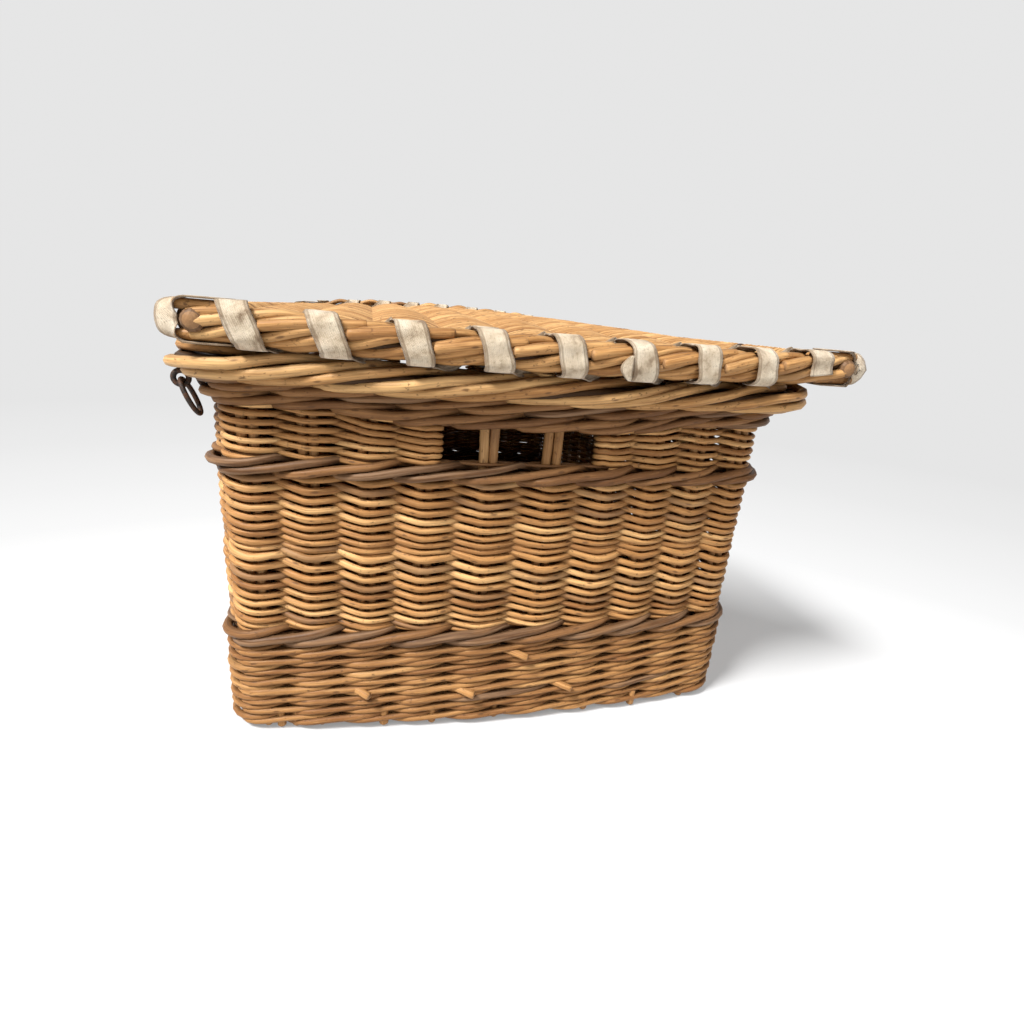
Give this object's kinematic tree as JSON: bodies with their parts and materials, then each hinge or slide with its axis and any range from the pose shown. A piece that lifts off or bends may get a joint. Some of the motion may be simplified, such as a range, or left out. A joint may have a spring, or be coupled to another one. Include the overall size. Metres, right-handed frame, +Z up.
{
  "type": "laundry hamper",
  "caption": "Rectangular woven willow hamper with tapered sides, hand holes in its ends and a flat lid hinged along the back edge.",
  "frame": {"origin": "middle of the underside of the base, on the floor", "axes": "+Z up, X along the hamper's length, the hinged back of the lid at +Y and its front at -Y"},
  "size_m": [0.7876, 0.5338, 0.3399],
  "materials": {
    "willow": "buff willow, dry and worn",
    "brown_willow": "brown willow with bark left on",
    "stick_willow": "peeled willow rod",
    "cloth_tape": "worn woven cotton tape",
    "iron": "rusted wrought wire"
  },
  "bodies": {
    "basket": {"near_end_stakes": "stick_willow", "far_end_stakes": "stick_willow", "near_window_stakes": "stick_willow", "far_window_stakes": "stick_willow", "front_stakes": "stick_willow", "back_stakes": "stick_willow", "base_sticks": "stick_willow", "base_weave": "willow", "foot_wale": "willow", "lower_wale": "brown_willow", "lower_siding": "willow", "middle_siding": "willow", "upper_wale": "brown_willow", "upper_siding_front": "willow", "upper_siding_back": "willow", "top_wale": "brown_willow", "border": "willow", "near_hinge_loop": "iron", "middle_hinge_loop": "iron", "far_hinge_loop": "iron", "near_front_eye": "iron", "far_front_eye": "iron"},
    "lid": {"lid_front_stick": "stick_willow", "lid_back_stick": "stick_willow", "lid_sticks": "stick_willow", "lid_weave": "willow", "near_lid_rim": "willow", "far_lid_rim": "willow", "near_lid_tape": "cloth_tape", "far_lid_tape": "cloth_tape", "near_front_corner_tape": "cloth_tape", "near_back_corner_tape": "cloth_tape", "far_front_corner_tape": "cloth_tape", "far_back_corner_tape": "cloth_tape"},
    "near_ring": {"near_front_ring": "iron"},
    "far_ring": {"far_front_ring": "iron"}
  },
  "joints": [
    {"name": "lid_hinge", "type": "hinge", "parent": "basket", "child": "lid", "pos_m": [0, 0.264, 0.3251], "axis": [-1, 0, 0], "range_deg": [0, 110]},
    {"name": "near_ring_swing", "type": "hinge", "parent": "basket", "child": "near_ring", "pos_m": [0.318, -0.24306, 0.2821], "axis": [-1, 0, 0], "range_deg": [0, 90]},
    {"name": "far_ring_swing", "type": "hinge", "parent": "basket", "child": "far_ring", "pos_m": [-0.318, -0.24306, 0.2821], "axis": [-1, 0, 0], "range_deg": [0, 90]}
  ]
}
